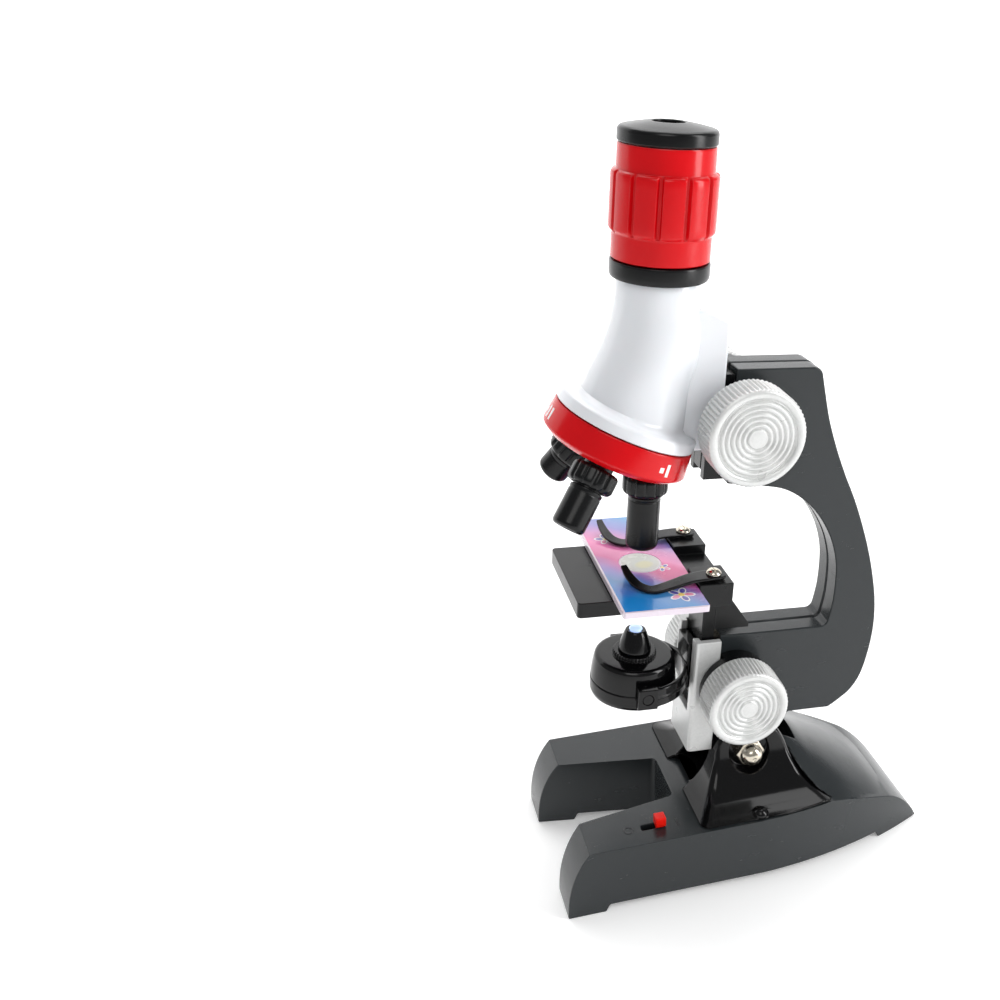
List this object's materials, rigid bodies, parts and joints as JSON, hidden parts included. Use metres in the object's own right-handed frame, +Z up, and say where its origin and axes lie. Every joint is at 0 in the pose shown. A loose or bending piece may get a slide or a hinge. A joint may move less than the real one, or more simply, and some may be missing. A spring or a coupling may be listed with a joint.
{
  "type": "kids microscope",
  "caption": "Toy compound microscope: tilting C-shaped arm on a horseshoe base, rack-and-pinion focus, turning triple nosepiece, clipped stage, and a lamp that flips over to a mirror.",
  "frame": {"origin": "on the surface it stands on, directly under the arm's tilt hinge", "axes": "+Z up, +X to the back of the instrument (away from the front feet), +Y to its far side, along the tilt hinge"},
  "size_m": [0.12, 0.0596, 0.222],
  "materials": {
    "charcoal_plastic": "semi-gloss moulded charcoal",
    "gloss_black_plastic": "glossy black",
    "satin_black_plastic": "satin black",
    "red_plastic": "glossy translucent-looking red",
    "white_plastic": "glossy white",
    "silver_plastic": "silver-coloured moulded plastic",
    "nickel_steel": "nickel-plated steel",
    "lens_glass": "clear polished lens",
    "lamp_glass": "pale blue moulded lens",
    "mirror": "polished mirror",
    "slide_print": "clear plastic with a colour-graded print and a round specimen window",
    "cell_jacket": "printed cell jacket, density close to a real cell",
    "contact_metal": "nickel-plated spring steel"
  },
  "bodies": {
    "base": {"base_shell": "charcoal_plastic", "hinge_fork": "gloss_black_plastic", "base_cover": "charcoal_plastic", "battery_door": "charcoal_plastic", "battery_front": "cell_jacket", "battery_rear": "cell_jacket", "contact_bridge": "contact_metal", "contact_spring": "contact_metal", "contact_plain": "contact_metal", "hinge_bolt": "nickel_steel", "hinge_nut": "nickel_steel", "base_screw_left": "nickel_steel", "base_screw_right": "nickel_steel", "base_screw_rear": "nickel_steel", "switch_housing": "satin_black_plastic"},
    "switch": {"switch_slider": "red_plastic"},
    "arm": {"arm_shell_near": "charcoal_plastic", "arm_shell_far": "charcoal_plastic", "arm_screw_upper": "nickel_steel", "arm_screw_lower": "nickel_steel", "stage_bush_near": "satin_black_plastic", "stage_bush_far": "satin_black_plastic", "focus_guide": "satin_black_plastic", "stage_guide": "silver_plastic", "lamp_yoke": "gloss_black_plastic"},
    "focus_spindle": {"focus_shaft": "nickel_steel", "focus_knob_near": "silver_plastic", "focus_knob_far": "silver_plastic"},
    "stage_spindle": {"stage_shaft": "nickel_steel", "stage_knob_near": "silver_plastic", "stage_knob_far": "silver_plastic"},
    "head": {"head_shell": "white_plastic", "focus_rack": "satin_black_plastic", "tube_ring": "satin_black_plastic", "nosepiece_pin": "nickel_steel"},
    "eyepiece": {"eyepiece_barrel": "red_plastic", "eyepiece_cap": "satin_black_plastic", "eyepiece_lens": "lens_glass", "field_lens": "lens_glass"},
    "nosepiece": {"nosepiece_disc": "red_plastic", "objective_collar_long": "satin_black_plastic", "objective_barrel_long": "satin_black_plastic", "objective_lens_long": "lens_glass", "objective_collar_medium": "satin_black_plastic", "objective_barrel_medium": "satin_black_plastic", "objective_lens_medium": "lens_glass", "objective_collar_short": "satin_black_plastic", "objective_barrel_short": "satin_black_plastic", "objective_lens_short": "lens_glass"},
    "stage": {"stage_plate": "satin_black_plastic", "stage_rack": "nickel_steel", "clip_screw_near": "nickel_steel", "clip_screw_far": "nickel_steel"},
    "clip_near": {"stage_clip_near": "satin_black_plastic"},
    "clip_far": {"stage_clip_far": "satin_black_plastic"},
    "slide": {"specimen_slide": "slide_print"},
    "lamp": {"lamp_housing": "gloss_black_plastic", "lamp_cone": "gloss_black_plastic", "lamp_lens": "lamp_glass", "lamp_mirror": "mirror"}
  },
  "joints": [
    {"name": "power_switch", "type": "slide", "parent": "base", "child": "switch", "axis": [1, 0, 0], "range_m": [-0.0042, 0]},
    {"name": "arm_tilt", "type": "hinge", "parent": "base", "child": "arm", "pos_m": [0, 0, 0.0361], "axis": [0, 1, 0], "range_deg": [0, 28]},
    {"name": "focus_slide", "type": "slide", "parent": "arm", "child": "head", "axis": [0.061, 0, 0.9981], "range_m": [-0.0015, 0.01]},
    {"name": "focus_turn", "type": "hinge", "parent": "arm", "child": "focus_spindle", "pos_m": [-0.00535, 0, 0.14312], "axis": [0, 1, 0], "range_deg": [-28, 180]},
    {"name": "stage_slide", "type": "slide", "parent": "arm", "child": "stage", "axis": [0.061, 0, 0.9981], "range_m": [-0.001, 0.003]},
    {"name": "stage_turn", "type": "hinge", "parent": "arm", "child": "stage_spindle", "pos_m": [-0.00459, 0, 0.05837], "axis": [0, 1, 0], "range_deg": [-10, 29]},
    {"name": "lamp_flip", "type": "hinge", "parent": "arm", "child": "lamp", "pos_m": [-0.03336, 0, 0.06319], "axis": [0, 1, 0], "range_deg": [-180, 0]},
    {"name": "eyepiece_turn", "type": "hinge", "parent": "head", "child": "eyepiece", "pos_m": [-0.02481, 0, 0.20293], "axis": [0.061, 0, 0.9981], "range_deg": [-60, 60]},
    {"name": "nosepiece_turn", "type": "hinge", "parent": "head", "child": "nosepiece", "pos_m": [-0.03553, 0, 0.14265], "axis": [0.4201, 0, 0.9075], "continuous": true},
    {"name": "clip_near_swing", "type": "hinge", "parent": "stage", "child": "clip_near", "pos_m": [-0.01376, -0.014, 0.09946], "axis": [0.061, 0, 0.9981], "range_deg": [0, 60]},
    {"name": "clip_far_swing", "type": "hinge", "parent": "stage", "child": "clip_far", "pos_m": [-0.01376, 0.014, 0.09946], "axis": [0.061, 0, 0.9981], "range_deg": [-60, 0]},
    {"name": "slide_shift", "type": "slide", "parent": "stage", "child": "slide", "axis": [0, 1, 0], "range_m": [-0.012, 0.008]}
  ],
  "couplings": [
    {"joint": "focus_turn", "follows": "focus_slide", "rad_per_m": 312.6},
    {"joint": "stage_turn", "follows": "stage_slide", "rad_per_m": 164.52}
  ]
}
